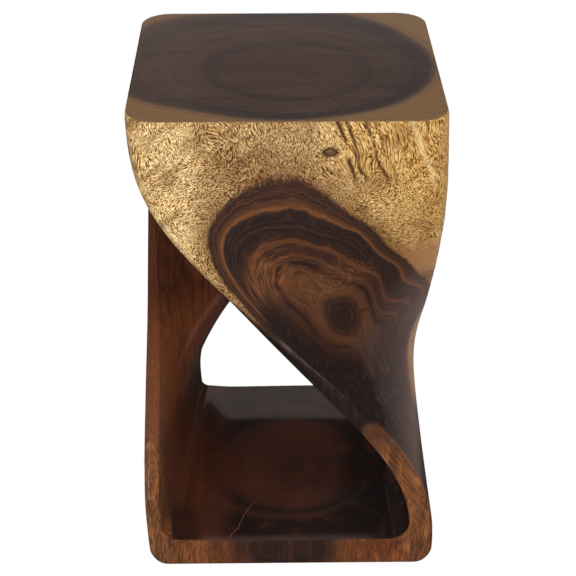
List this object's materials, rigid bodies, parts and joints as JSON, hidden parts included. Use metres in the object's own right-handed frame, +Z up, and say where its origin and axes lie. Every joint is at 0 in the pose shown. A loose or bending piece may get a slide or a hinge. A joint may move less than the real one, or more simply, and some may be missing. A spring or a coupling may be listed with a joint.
{
  "type": "carved end table",
  "caption": "Square end table carved from a single wood block, with a tunnel that turns a quarter turn between base and top, on small floor glides.",
  "frame": {"origin": "on the floor, below the middle of the base", "axes": "+Z up, -Y towards the front, which is the side from which the lower opening is seen through and the wide face slants up to the left; +X to the right"},
  "size_m": [0.3, 0.3, 0.512],
  "materials": {
    "carved_wood": "two-tone hardwood, dark heart and golden sapwood, sanded and clear coated, satin to semi gloss",
    "wood_filler": "light brown wood filler, sanded flush under the coat",
    "glide_nylon": "matt dark nylon",
    "screw_steel": "zinc plated"
  },
  "bodies": {
    "root": {"carved_body": "carved_wood", "side_crack_filler": "wood_filler", "slant_crack_filler": "wood_filler", "base_crack_filler": "wood_filler", "glide_front_left": "glide_nylon", "glide_front_right": "glide_nylon", "glide_back_left": "glide_nylon", "glide_back_right": "glide_nylon", "screw_front_left": "screw_steel", "screw_front_right": "screw_steel", "screw_back_left": "screw_steel", "screw_back_right": "screw_steel"}
  },
  "joints": []
}
